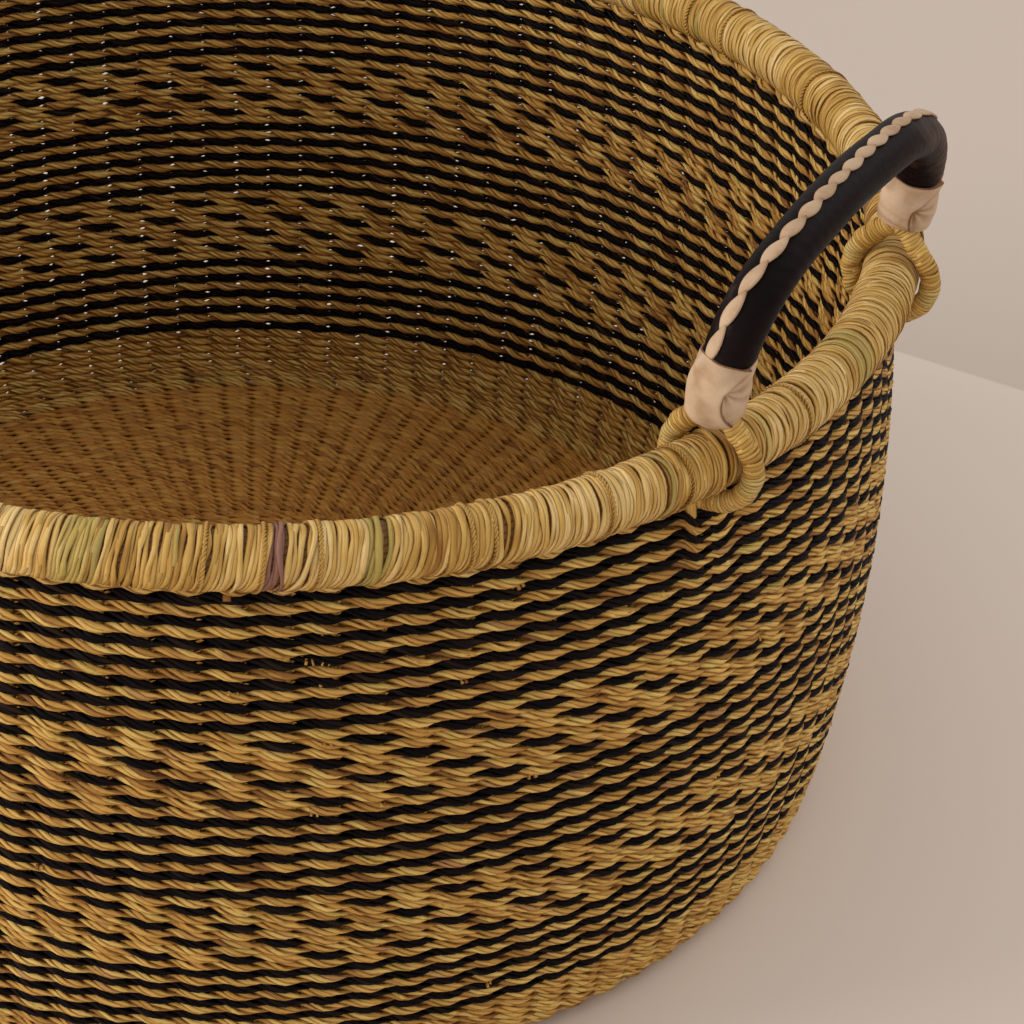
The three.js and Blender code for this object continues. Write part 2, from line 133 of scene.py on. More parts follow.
def grass(
    name, shades, gloss=0.55, streak=0.45, painted_edge_shade=0.15, shine=0.3, fibre_depth=0.12 * MM, fibre_share=2.6
):
    """Straw: shades by the tone of each straw, fine streaks along it, and a low satin gloss."""
    material, shader = new_material(name)
    tone = add_node(material, "Attribute", {}, "Fac", attribute_name="tone")
    run = add_node(material, "Attribute", {}, "Vector", attribute_name="run")
    stretched = add_node(material, "Mapping", {"Vector": run, "Scale": (90, fibre_share, 1.7)}, "Vector")
    noise = {"Vector": stretched, "Scale": 1.0, "Detail": 3.0, "Roughness": 0.65}
    fibres = add_node(material, "TexNoise", noise, "Fac")
    streaks = add_range(material, fibres, 1 - streak, 1 + streak * 0.4, 0.3, 0.7)
    # Painted shade: each straw is painted darker, unevenly, towards its edges, where it meets the next one,
    # and this painted shade is warm.
    across = add_node(material, "SeparateXYZ", {"Vector": run}, "Y")
    beside = add_node(material, "Math", {0: across}, "Value", operation="ABSOLUTE")
    frayed = add_node(material, "Math", {0: fibres, 1: 0.9, 2: beside}, "Value", operation="MULTIPLY_ADD")
    edge = add_range(material, frayed, 1.0, painted_edge_shade, 1.1, 1.55, interpolation_type="SMOOTHSTEP")
    light = add_node(material, "Math", {0: streaks, 1: edge}, "Value", operation="MULTIPLY")
    lit = add_shades(material, tone, shades)
    dark = add_node(material, "VectorMath", {0: lit, 1: PAINTED_SHADE_TINT}, "Vector", operation="MULTIPLY")
    mix = {"Factor": light, "A": dark, "B": lit}
    shade = add_node(material, "Mix", mix, "Result", data_type="RGBA", clamp_factor=False)
    rough = add_range(material, fibres, gloss - 0.1, gloss + 0.15)
    bump = add_node(material, "Bump", {"Height": fibres, "Distance": fibre_depth, "Strength": 0.8}, "Normal")
    finish = {"Base Color": shade, "Roughness": rough, "Normal": bump, "Specular IOR Level": shine}
    set_inputs(material, shader, finish)
    return material


TAN_SHADES = [
    (0.0, 134, 86, 36),
    (0.2, 174, 125, 55),
    (0.45, 205, 156, 75),
    (0.65, 221, 177, 92),
    (0.82, 230, 194, 110),
    (0.93, 204, 172, 86),
    (1.0, 188, 138, 84),
]
undyed_grass = grass("undyed_grass", TAN_SHADES, painted_edge_shade=0.21)


def unit(vectors):
    return vectors / np.linalg.norm(vectors, axis=-1, keepdims=True)


def tube_faces(count, samples, sides, closed):
    """The faces of tubes whose points go tube by tube and ring by ring. Open tubes get closed ends."""
    index = np.arange(count * samples * sides).reshape(count, samples, sides)
    here = index if closed else index[:, :-1]
    ahead = np.roll(index, -1, axis=1) if closed else index[:, 1:]
    faces = [np.stack([here, ahead, np.roll(ahead, -1, 2), np.roll(here, -1, 2)], -1).reshape(-1, 4)]
    if not closed:
        for k in range(sides // 2 - 1):
            corners = [k, k + 1, sides - 2 - k, sides - 1 - k]
            faces.append(index[:, 0][:, corners])
            faces.append(index[:, -1][:, corners[::-1]])
    return np.concatenate(faces)


def straw_tubes(middle, wide, thick, half_width, half_thick, sides=STRAW_SIDES, closed=True):
    """Tubes round the given middle lines. middle, wide and thick are (tubes, samples, 3), and the halves are
    (tubes, samples). Returns the points, the faces, and each point's place across its tube, from -1 to 1."""
    count, samples = middle.shape[:2]
    around = (np.arange(sides) + 0.5) / sides * 2 * math.pi
    reach = 1 / math.cos(math.pi / sides)
    across = wide[:, :, None] * (half_width[..., None] * np.cos(around) * reach)[..., None]
    up = thick[:, :, None] * (half_thick[..., None] * np.sin(around) * reach)[..., None]
    points = (middle[:, :, None] + across + up).reshape(-1, 3)
    return points, tube_faces(count, samples, sides, closed), np.tile(np.cos(around) * reach, count * samples)


def add_object(name, data):
    piece = bpy.data.objects.new(name, data)
    bpy.context.scene.collection.objects.link(piece)
    return piece


def add_mesh(name, points, faces, material, tone, run=None):
    """A smooth mesh piece with its faces pointing out, and a tone and a straw run for each point."""
    a, b, c, d = (points[faces[:, k]] for k in range(4))
    volume = np.einsum("ij,ij->", a, np.cross(b, c)) + np.einsum("ij,ij->", a, np.cross(c, d))
    if volume < 0:
        faces = faces[:, ::-1]
    mesh = bpy.data.meshes.new(name)
    mesh.vertices.add(len(points))
    mesh.vertices.foreach_set("co", points.astype(np.float32).ravel())
    mesh.loops.add(faces.size)
    mesh.loops.foreach_set("vertex_index", faces.astype(np.int32).ravel())
    mesh.polygons.add(len(faces))
    mesh.polygons.foreach_set("loop_start", np.arange(0, faces.size, 4, dtype=np.int32))
    mesh.polygons.foreach_set("use_smooth", np.ones(len(faces), bool))
    mesh.update(calc_edges=True)
    marks = [("tone", "FLOAT", "value", tone), ("run", "FLOAT_VECTOR", "vector", run)]
    for title, kind, field, values in marks:
        if values is not None:
            attribute = mesh.attributes.new(title, kind, "POINT")
            attribute.data.foreach_set(field, values.astype(np.float32).ravel())
    mesh.materials.append(material)
    return add_object(name, mesh)


def add_straws(name, tubes, material, tone, along, first=0):
    """A mesh of straws from what straw_tubes gives. tone and along, the length along a straw, are
    (tubes, samples). first is the first straw's number, and each number has streaks of its own."""
    points, faces, across = tubes
    number = np.arange(first, first + len(tone))[:, None] * STREAK_STEP + 0 * tone
    sides = len(points) // tone.size
    tones, lengths, numbers = (np.repeat(values.ravel(), sides) for values in (tone, along, number))
    return add_mesh(name, points, faces, material, tones, np.stack([lengths, across, numbers], -1))


def basket_part(piece, slot, *nodes):
    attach(piece, "basket")
    if nodes:
        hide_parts(*nodes)


def on_circle(turn, radius, height):
    """Points at a radius and a height, the same shape as turn, with the outward and onward directions."""
    out = np.stack([np.cos(turn), np.sin(turn), np.zeros_like(turn)], -1)
    onward = np.stack([-np.sin(turn), np.cos(turn), np.zeros_like(turn)], -1)
    return out * radius[..., None] + UP * height[..., None], out, onward


def make_stakes():
    rng = np.random.default_rng(11)
    corner = np.linspace(0, math.pi / 2, 7)
    wall_heights = np.linspace(FOOT_ROUNDING, WALL_TOP, 46)[1:]
    places = [
        (BASE_RADIUS - STAKE_RUN_IN, BASE_HEIGHT),
        *zip(BASE_RADIUS + CORNER_RADIUS * np.sin(corner), FOOT_ROUNDING - CORNER_RADIUS * np.cos(corner)),
        *zip(wall_radius(wall_heights), wall_heights),
        (RIM_RADIUS - 1.5 * MM, RIM_HEIGHT - 3 * MM),
    ]
    radii, heights = np.array(places).T
    one_each = (STAKES, 1)
    turn = STAKE_SHIFT + np.arange(STAKES)[:, None] * 2 * math.pi / STAKES + rng.normal(0, 0.0009, one_each)
    turn = np.broadcast_to(turn, (STAKES, len(radii)))
    middle, onward = on_circle(turn, radii + 0 * turn, heights + 0 * turn)[::2]
    thick = unit(np.cross(onward, np.gradient(middle, axis=1)))
    half_width = STAKE_HALF_WIDTH * rng.uniform(0.9, 1.6, one_each) + 0 * turn
    half_thick = STAKE_HALF_THICKNESS + 0 * turn
    tubes = straw_tubes(middle, onward, thick, half_width, half_thick, STAKE_SIDES, False)
    length = np.arange(len(radii)) * 5 * MM + 0 * turn
    return add_straws("stakes", tubes, undyed_grass, rng.uniform(0.4, 0.85, one_each) + 0 * turn, length)


basket_part(make_stakes(), "natural_grass")

# Wall rows: two strands of three straws each are twined round the stakes, one row above the other.
# A strand passes outside one stake and inside the next, so each row is a rope of two strands, half a turn
# for each stake. Tan rows are undyed, black rows are dyed, and tick rows have one strand of each.
ROW_PITCH = 3.85 * MM
ROPE_DEPTH = 2.45 * MM  # from a row's middle out to the middle of its straws
ROPE_HEIGHT = 1.5 * MM  # and up to it
STAKE_BULGE = 0.15  # how much deeper a row is over a stake than between two
STAKE_DIP = 0.3 * MM  # how far it dips there
STRAWS = 3
STRAND_SPREAD = math.radians(49)  # from straw to straw, round the row's middle
STRAW_OVERLAP = 1.15
STRAW_HALF_THICKNESS = 0.48 * MM
BOTH = (0, math.pi)  # the phases of a row's two strands
LOOP_TURN = math.radians(17.5)  # the handles' loops, from the X axis
LOOP_TURNS = [LOOP_TURN, -LOOP_TURN, math.pi - LOOP_TURN, math.pi + LOOP_TURN]
LOOP_HOLE_HEIGHT = RIM_HEIGHT - 15.4 * MM
LOOP_HOLE_HALF = 3.6 * MM  # as wide as a loop
LOOP_HOLE_END = 13 * MM  # a stake away
ROWS_PUSHED_UP = 2.9 * MM
ROWS_PUSHED_DOWN = 6.4 * MM
ROWS_PUSHED_DEPTH = 36 * MM  # the rows below this lie level again
PLAIN_TONE = 0.84  # above it are the greener and redder straws
BLACK_SHADES = [
    (0.0, 7, 3, 4),
    (0.4, 12, 6, 8),
    (0.8, 21, 14, 15),
    (1.0, 44, 32, 26),
]
black_grass = grass("black_dyed_grass", BLACK_SHADES, gloss=0.5, streak=0.3, shine=0.07)


def ripple(rng, paths, turn, waves):
    """Smooth noise round the basket for each path, about 1 high."""
    total = np.zeros((paths, len(turn)))
    for wave in waves:
        total += rng.normal(size=(paths, 1)) * np.sin(wave * turn + rng.uniform(0, 2 * math.pi, (paths, 1)))
    return total / math.sqrt(len(waves) / 2)


def full_turn(steps):
    """Angles with even steps all the way round."""
    return np.linspace(0, 2 * math.pi, steps, endpoint=False)


def smooth_step(low, high, value):
    share = np.clip((value - low) / (high - low), 0, 1)
    return share * share * (3 - 2 * share)


def near_loop(turn, radius):
    """How near each place is to a loop's hole: 1 beside the loop, 0 a stake away from it."""
    nearness = np.zeros_like(turn)
    for loop_turn in LOOP_TURNS:
        off = np.abs((turn - loop_turn + math.pi) % (2 * math.pi) - math.pi) * radius
        nearness = np.maximum(nearness, 1 - smooth_step(LOOP_HOLE_HALF, LOOP_HOLE_END, off))
    return nearness


def opened_for_loops(turn, radius, height):
    """The rows part above and below the place where a loop passes through the wall."""
    below = np.clip(1 - (LOOP_HOLE_HEIGHT - height) / ROWS_PUSHED_DEPTH, 0, 1)
    shift = np.where(height > LOOP_HOLE_HEIGHT, ROWS_PUSHED_UP, -ROWS_PUSHED_DOWN * below)
    return height + shift * near_loop(turn, radius)


def turned(first, second, angle):
    """The direction at an angle from the first direction towards the second one."""
    return first * np.cos(angle)[..., None] + second * np.sin(angle)[..., None]


def twined(
    name, rows, material, seed, phases=(), stakes=STAKES, straws=STRAWS,
    scale=1.0, depth=ROPE_DEPTH, samples=11, bulge=1.0,
):
    """One mesh of strands. rows are (radius, height, tilt of the outside). phases has one phase for each
    strand of each row: 0 for the strand that is outside at the first stake, pi for the other."""
    rng = np.random.default_rng(seed)
    phases = phases or [BOTH] * len(rows)
    turn = full_turn(samples * stakes // 2)
    strands = [(*row, phase) for row, row_phases in zip(rows, phases) for phase in row_phases]
    count = len(strands) * straws
    radius, height, tilt, phase = np.repeat(np.array(strands, float), straws, axis=0).T[:, :, None]
    place = np.tile(np.arange(straws) - (straws - 1) / 2, len(strands))[:, None] * 3 / straws
    all_turns = np.broadcast_to(turn, (count, len(turn)))
    from_stake = (all_turns - STAKE_SHIFT) * stakes
    wander = np.repeat(ripple(rng, len(strands), turn, (2, 3, 5, 9, 17)), straws, axis=0) * 0.1 * MM
    twist = phase + from_stake / 2 + ripple(rng, count, turn, (19, 31, 47)) * 0.06
    # All the rows lie a little unevenly together, as hand-made rows do.
    sway = 0.45 * MM * np.sin(5 * all_turns + height * 30)
    sway = sway + 0.3 * MM * np.sin(13 * all_turns + height * 55 + 1)
    sway = np.where(tilt > -0.3, sway * np.cos(tilt), 0)
    over_stake = np.cos(from_stake) * bulge
    dip = np.cos(from_stake - 0.5) * bulge * STAKE_DIP * np.cos(tilt)
    height = opened_for_loops(all_turns, radius, height + sway + wander - dip)
    middle, out = on_circle(all_turns, radius + 0 * all_turns, height)[:2]
    outside = turned(out, UP, tilt)
    down = turned(-UP, out, tilt)
    # The straws of a strand lie side by side on the outside of the rope, and its middle ones stand proud.
    spread = place * STRAND_SPREAD + 0.1 * ripple(rng, count, turn, (23, 37, 51, 77, 104, 131))
    swell = 0.14 * MM * np.cos(spread * 1.2) + 0.09 * MM * ripple(rng, count, turn, (29, 43, 61, 89))
    around = twist - 0.16 * np.sin(2 * twist) + spread
    depth = depth * scale * (1 + STAKE_BULGE * over_stake)
    half_row = ROPE_HEIGHT * scale * (1 + 0.06 * over_stake)
    middle = middle + outside * ((depth + swell) * np.cos(around))[..., None]
    middle = middle + down * ((half_row + swell) * np.sin(around))[..., None]
    stride = np.hypot(depth * np.sin(around), half_row * np.cos(around))
    downwards = (half_row * np.cos(around) / stride)[..., None]
    inwards = (depth * np.sin(around) / stride)[..., None]
    uneven = 1 + 0.1 * ripple(rng, count, turn, (7, 15, 33, 58))
    tubes = straw_tubes(
        middle,
        down * downwards - outside * inwards,
        outside * downwards + down * inwards,
        STRAW_OVERLAP / 2 * stride * STRAND_SPREAD * 3 / straws * uneven,
        STRAW_HALF_THICKNESS * scale + 0 * uneven,
    )
    shade = 0.52 + 0.14 * rng.normal(size=(count, 1)) + 0.15 * ripple(rng, count, turn, (2, 5, 11, 21, 34))
    # Here and there a straw is greener or redder than the rest.
    odd = smooth_step(1.35, 1.7, np.abs(ripple(rng, count, turn, (3, 7, 12, 26)) * 0.9))
    shade = np.clip(shade, 0.02, PLAIN_TONE) * (1 - odd) + (0.9 + 0.1 * rng.random((count, 1))) * odd
    return add_straws(name, tubes, material, shade, all_turns * radius, seed * 100)


def wall_rows(first, last):
    """Rows numbered down from the rim, 0 for the plain row that the rim's wrapping catches."""
    heights = WALL_TOP - (np.arange(first, last) + 0.5) * ROW_PITCH
    return [(wall_radius(height), height, 0.0) for height in heights]


RIM_SHADES = [
    (0.0, 152, 102, 36),
    (0.3, 194, 149, 68),
    (0.55, 219, 179, 99),
    (0.85, 238, 205, 138),
    (0.9, 190, 164, 84),
    (0.95, 172, 152, 82),
    (1.0, 150, 106, 90),
]
rim_grass = grass("rim_grass", RIM_SHADES, streak=0.5, painted_edge_shade=0.1, fibre_depth=0.2 * MM, fibre_share=4.5)
top_row = [(radius + 0.5 * MM, height + 0.5 * MM, tilt) for radius, height, tilt in wall_rows(0, 1)]
lashing_row = twined("lashing_row_weave", top_row, rim_grass, 1, scale=1.08, bulge=1.8)
basket_part(lashing_row, "natural_grass", "lashing_row")

# First row, the row after the last, and a seed for each band.
STRIPE_BANDS = {
    "upper_stripe_band": (1, 15, 2),
    "middle_stripe_band": (23, 33, 4),
    "lower_stripe_band": (41, 51, 6),
}
for band, (first, last, seed) in STRIPE_BANDS.items():
    for number, row in enumerate(wall_rows(first, last)):
        shade, material = (("black", black_grass), ("tan", undyed_grass))[number % 2]
        row_name = band + "_" + shade + "_row_" + str(number // 2 + 1)
        stripe = twined(row_name, [row], material, seed * 40 + number)
        basket_part(stripe, "striped_grass", band)

TICK_BANDS = {"upper_tick_band": (15, 23, 3), "lower_tick_band": (33, 41, 5)}
for band, (first, last, seed) in TICK_BANDS.items():
    rows = wall_rows(first, last)
    tick_phases = [(math.pi * (number % 2),) for number in range(len(rows) // 2)]
    plain_phases = [(math.pi - phase,) for (phase,) in tick_phases]
    ticks = twined(band + "_ticks", rows[0::2], black_grass, seed, tick_phases)
    beside_ticks = twined(band + "_strands_beside_ticks", rows[0::2], undyed_grass, seed + 10, plain_phases)
    plain = twined(band + "_plain_rows", rows[1::2], undyed_grass, seed + 20)
    for strands in (ticks, beside_ticks, plain):
        basket_part(strands, "ticked_grass", band)

# Straw ends: where a straw gives out the next one is laid in beside it, and both ends stand out a little.
# They are undyed grass, cut short with a knife, about as thick as the straws of a row.
# The places on the near side are their turn in degrees and their height in millimetres.
NEAR_ENDS = [
    (-50.5, 205.2), (-51.6, 195.4), (-50.6, 194.3), (-50.5, 186.6), (-57.2, 185.2),
    (-57.3, 174.3), (-50.3, 163.6), (-46.1, 136.6), (-51.3, 135.7), (-57.4, 219.4),
]
OTHER_ENDS = 60
FLAT_END_HALF_WIDTH = 1.3 * MM


def make_straw_ends():
    rng = np.random.default_rng(21)
    others = np.stack([rng.uniform(-40, 290, OTHER_ENDS), rng.uniform(30, 212, OTHER_ENDS)], -1)
    places = np.repeat(np.concatenate([NEAR_ENDS, others]), 2, axis=0)
    one_each = (len(places), 1)
    turn = np.radians(places[:, 0]) + np.tile([-0.0034, 0.0034], len(places) // 2)
    height = places[:, 1] * MM
    foot, out, onward = on_circle(turn, wall_radius(height) + 1.7 * MM, height)
    aim = out * rng.uniform(0.7, 1.3, one_each) + onward * rng.normal(0, 0.5, one_each)
    aim = unit(aim - UP * rng.uniform(0.1, 0.8, one_each))
    wide = unit(np.cross(aim, out))
    reach = rng.uniform(1.3, 2.7, one_each) * MM * np.linspace(0, 1, 3)
    middle = foot[:, None] + aim[:, None] * reach[..., None]
    half = rng.uniform(0.35, 0.65, one_each) * MM + 0 * reach
    # One of the last pair on the near side is a flat strip.
    half[2 * len(NEAR_ENDS) - 2] = FLAT_END_HALF_WIDTH
    spread = [np.broadcast_to(lay[:, None], middle.shape) for lay in (wide, np.cross(wide, aim))]
    tubes = straw_tubes(middle, *spread, half, half * 0.7, closed=False)
    tone = rng.uniform(0, 0.5, one_each) + 0 * reach
    return add_straws("straw_ends", tubes, undyed_grass, tone, reach, 9000)


basket_part(make_straw_ends(), "natural_grass")

# Foot: plain rows of the same twining that carry on down the wall and round under to the base.
# They are undyed grass, twined round the stakes where these bend in under the basket.
FOOT_ROWS = 8
FOOT_REACH = CORNER_RADIUS - 0.3 * MM  # keeps the straws off the floor
foot_top = WALL_TOP - 51 * ROW_PITCH
straight = foot_top - FOOT_ROUNDING
foot_length = straight + CORNER_RADIUS * math.pi / 2
foot_rows = []
for number in range(FOOT_ROWS):
    along = (number + 0.5) * foot_length / FOOT_ROWS
    if along < straight:
        foot_rows.append((wall_radius(foot_top - along), foot_top - along, 0.0))
    else:
        bend = (along - straight) / CORNER_RADIUS
        row_radius = BASE_RADIUS + FOOT_REACH * math.cos(bend)
        foot_rows.append((row_radius, FOOT_ROUNDING - FOOT_REACH * math.sin(bend), -bend))
for number in (0, FOOT_ROWS // 2):
    some_rows = foot_rows[number : number + FOOT_ROWS // 2]
    name = "foot_weave_from_row_" + str(number + 1)
    foot_weave = twined(name, some_rows, undyed_grass, 7 + number)
    basket_part(foot_weave, "natural_grass", "foot_band")

# Base: undyed grass twined in flat rings over spokes, which are fewer towards the middle.
# Each zone has its outer and inner radius in millimetres, its spokes and a seed.
BASE_ZONES = [(222, 116, 104, 8), (116, 60, 52, 9), (60, 18, 26, 10)]
RINGS_IN_A_PIECE = 10
BASE_ROPE_DEPTH = 1.7 * MM
BASE_SHADES = [
    (0.0, 150, 94, 38),
    (0.5, 204, 142, 62),
    (0.84, 214, 160, 76),
    (1.0, 186, 134, 70),
]
base_grass = grass("base_grass", BASE_SHADES, streak=0.3, painted_edge_shade=0.8)
for outer, inner, spokes, seed in BASE_ZONES:
    ring_radii = np.arange(outer * MM - ROW_PITCH / 2, inner * MM, -ROW_PITCH)
    rings = [(radius, BASE_HEIGHT, -math.pi / 2) for radius in ring_radii]
    for start in range(0, len(rings), RINGS_IN_A_PIECE):
        weave = twined(
            "base_weave_" + str(spokes) + "_" + str(start),
            rings[start : start + RINGS_IN_A_PIECE],
            base_grass,
            seed + start,
            stakes=spokes,
            straws=2,
            depth=BASE_ROPE_DEPTH,
            samples=8,
        )
        basket_part(weave, "natural_grass", "base_weave")

# Start of the base: two layers of undyed straws laid across each other, the upper one along the X axis.
# The first ring is twined round them.
START_STRAWS = 15
START_RADIUS = 20 * MM
START_PITCH = 2.5 * MM
START_HALF_WIDTH = 1.3 * MM
START_SAMPLES = 9
START_HEIGHTS = (1.9 * MM, 3.6 * MM)


def joined(*parts):
    """Several sets of points, faces and places across the tube as one."""
    starts = np.cumsum([0] + [len(part[0]) for part in parts[:-1]])
    shifted = [(points, faces + start, across) for (points, faces, across), start in zip(parts, starts)]
    return [np.concatenate(same) for same in zip(*shifted)]


def make_start():
    rng = np.random.default_rng(12)
    layers = []
    for layer, layer_height in enumerate(START_HEIGHTS):
        beside = (np.arange(START_STRAWS) - (START_STRAWS - 1) / 2)[:, None] * START_PITCH
        along = np.sqrt(START_RADIUS**2 - beside**2) * np.linspace(-1, 1, START_SAMPLES)
        beside = beside + 0.25 * MM * rng.normal(size=along.shape)
        height = np.full(along.shape, layer_height)
        middle = np.stack([along, beside, height] if layer else [beside, along, height], -1)
        across = np.zeros(middle.shape)
        across[..., layer] = 1
        up = np.broadcast_to(UP, middle.shape)
        half_width = np.full(along.shape, START_HALF_WIDTH)
        layers.append(straw_tubes(middle, across, up, half_width, half_width * 0.7, closed=False))
    points, faces, across = joined(*layers)
    points_each = START_SAMPLES * STRAW_SIDES
    tone = np.repeat(rng.uniform(0.3, 0.75, len(points) // points_each), points_each)
    run = np.stack([points[:, 0] + points[:, 1], across, tone * 90], -1)
    return add_mesh("base_start_cross", points, faces, base_grass, tone, run)


basket_part(make_start(), "natural_grass", "base_start")

# Rim: the stakes' ends are turned down and laid with more straw into one thick rope round the top.
# It is hidden under the wrapping, apart from what shows between two turns.
BUNDLE_STRAWS = 24
BUNDLE_SAMPLES = 420
BUNDLE_RADIUS = 8.3 * MM  # from the roll's middle to the middle of its outermost straws
BUNDLE_CORE_RADIUS = 7.8 * MM
BUNDLE_HALF_WIDTH = 1.2 * MM
BUNDLE_HALF_THICKNESS = 0.8 * MM
BUNDLE_TURNS = 7  # how often a straw goes round the rope on its way round the basket
DARK_SHADES = [(0.0, 112, 76, 34), (1.0, 162, 116, 56)]
inner_grass = grass("inner_grass", DARK_SHADES)


def round_roll(turn, around, radius):
    """Points round the rim's middle line at a radius from it, with the directions away from it and onward."""
    centre, out, onward = on_circle(turn, RIM_RADIUS + 0 * turn, RIM_HEIGHT + 0 * turn)
    away = turned(out, UP, around)
    return centre + away * radius[..., None], away, onward


def make_bundle():
    turn = full_turn(BUNDLE_SAMPLES)
    turn = np.broadcast_to(turn, (BUNDLE_STRAWS, BUNDLE_SAMPLES))
    around = np.arange(BUNDLE_STRAWS)[:, None] * 2 * math.pi / BUNDLE_STRAWS + BUNDLE_TURNS * turn
    middle, away, onward = round_roll(turn, around, BUNDLE_RADIUS + 0 * turn)
    half_width = BUNDLE_HALF_WIDTH + 0 * turn
    half_thick = BUNDLE_HALF_THICKNESS + 0 * turn
    outer = straw_tubes(middle, np.cross(onward, away), away, half_width, half_thick)
    turn = turn[:1, ::4]
    middle, away, onward = round_roll(turn, 0 * turn, 0 * turn)
    half = BUNDLE_CORE_RADIUS + 0 * turn
    core = straw_tubes(middle, np.cross(onward, away), away, half, half, 16)
    points, faces, across = joined(outer, core)
    tone = np.full(len(points), 0.5)
    run = np.stack([np.arctan2(points[:, 1], points[:, 0]) * RIM_RADIUS, across, tone], -1)
    return add_mesh("rim_straw_bundle", points, faces, inner_grass, tone, run)


basket_part(make_bundle(), "natural_grass", "rim_bundle")

# Rim wrapping: pale straws wound closely over the bundle, about ten to each stake. They lie unevenly, cross
# each other, and bend to the left where they go in under the roll and round the first row.
WRAPS = 1040
WRAP_SAMPLES = 24
WRAP_HALF_WIDTH = 0.94 * MM
WRAP_HALF_THICKNESS = 0.46 * MM
WRAP_RADIUS = ROLL_RADIUS - 0.71 * MM
WRAP_TUCK = 2.6 * MM  # how far a straw bends to the left under the roll
# Where a group of odd straws is, in degrees, half its width, and its tone.
ODD_GROUPS = [(-54.1, 0.6, 1.03), (-68.5, 1.2, 0.9), (-47.0, 0.8, 0.93), (1.0, 1.6, 0.9), (29.0, 1.2, 0.98)]
TWISTS = 22
TWISTED_STRAWS = [-59.2, -55.0, -51.0]  # degrees
OTHER_TWISTED_STRAWS = 24
TWIST_RADIUS = 0.42 * MM
TWIST_HALF_WIDTH = 0.44 * MM


def tucked(around):
    """How far a straw bends to the left at each place round the roll."""
    return WRAP_TUCK * np.clip(-np.sin(around), 0, 1) ** 2


def make_wrapping():
    rng = np.random.default_rng(31)
    one_each = (WRAPS, 1)
    around = full_turn(WRAP_SAMPLES)
    spacing = 2 * math.pi / WRAPS
    start = np.arange(WRAPS)[:, None] * spacing + rng.normal(0, 0.09 * spacing, one_each)
    lean = 0.15 * ripple(rng, WRAPS, around, (1, 2))
    lean = lean + 0.12 * ripple(rng, WRAPS, around, (3, 4, 5))
    # Stretches of the wrapping slant more or less, and here and there a straw lies across its neighbours.
    slant = 1.9 + 0.65 * ripple(rng, 1, start[:, 0], (3, 5, 8, 13, 34, 55, 110)).reshape(-1, 1)
    across_others = (rng.random(one_each) > 0.9) * rng.normal(size=one_each)
    slant = slant + 0.25 * rng.normal(size=one_each)
    lean = lean + 1.1 * across_others * np.sin(around + rng.uniform(0, 1, one_each))
    shift = (lean + slant * np.sin(around)) * MM - tucked(around)
    turn = start + shift / RIM_RADIUS
    lift = 0.13 * ripple(rng, WRAPS, around, (1, 2, 3)) + 0.14 * rng.normal(size=one_each)
    lift = (lift + 0.3 * np.abs(across_others)) * MM
    wide_share = 1 + 0.15 * rng.normal(size=one_each) + 0.15 * ripple(rng, WRAPS, around, (2, 3, 4, 5))
    all_around = np.broadcast_to(around, turn.shape)
    middle, away, onward = round_roll(turn, all_around, WRAP_RADIUS + lift)
    half_width = WRAP_HALF_WIDTH * np.clip(wide_share, 0.6, 1.6)
    half_thick = WRAP_HALF_THICKNESS + 0 * turn
    tubes = straw_tubes(middle, onward, away, half_width, half_thick)
    tone = 0.53 + 0.11 * ripple(rng, 1, start[:, 0], (9, 16, 27, 41)).reshape(-1, 1)
    tone = tone + 0.095 * rng.normal(size=one_each) + 0.09 * ripple(rng, WRAPS, around, (1, 2, 3, 5))
    tone = np.clip(tone, 0.02, PLAIN_TONE)
    for degrees, half, odd_tone in ODD_GROUPS:
        off = np.abs((np.degrees(start) - degrees + 180) % 360 - 180)
        tone = np.where(off < half, odd_tone + 0.03 * (rng.random(one_each) - 0.5), tone)
    odd = rng.random(one_each) > 0.975
    tone = np.where(odd, 0.88 + 0.07 * rng.random(one_each), tone)
    length = all_around * ROLL_RADIUS
    return add_straws("rim_wrapping_straws", tubes, rim_grass, np.clip(tone, 0, 1), length, 5000)


def make_twisted_straws():
    """Here and there one of the wrapping's straws is twisted into a thin cord."""
    rng = np.random.default_rng(33)
    around = full_turn(TWISTS * 6)
    places = np.concatenate([TWISTED_STRAWS, rng.uniform(-45, 280, OTHER_TWISTED_STRAWS)])
    start = np.repeat(np.radians(places), 2)[:, None]
    turn = start + (0.9 * MM * np.sin(around) - tucked(around)) / RIM_RADIUS
    all_around = np.broadcast_to(around, turn.shape)
    twist = TWISTS * all_around + np.tile([0, math.pi], len(places))[:, None]
    middle, away, onward = round_roll(turn, all_around, WRAP_RADIUS + 0.5 * MM + TWIST_RADIUS * np.cos(twist))
    middle = middle + onward * (TWIST_RADIUS * np.sin(twist))[..., None]
    half = np.full(turn.shape, TWIST_HALF_WIDTH)
    tubes = straw_tubes(middle, onward, away, half, half)
    tone = 0.3 + 0.15 * rng.random((len(start), 1)) + 0 * turn
    return add_straws("rim_twisted_straws", tubes, rim_grass, tone, all_around * ROLL_RADIUS, 7000)


basket_part(make_wrapping(), "rim_grass", "rim_wrapping")
basket_part(make_twisted_straws(), "rim_grass", "rim_wrapping")

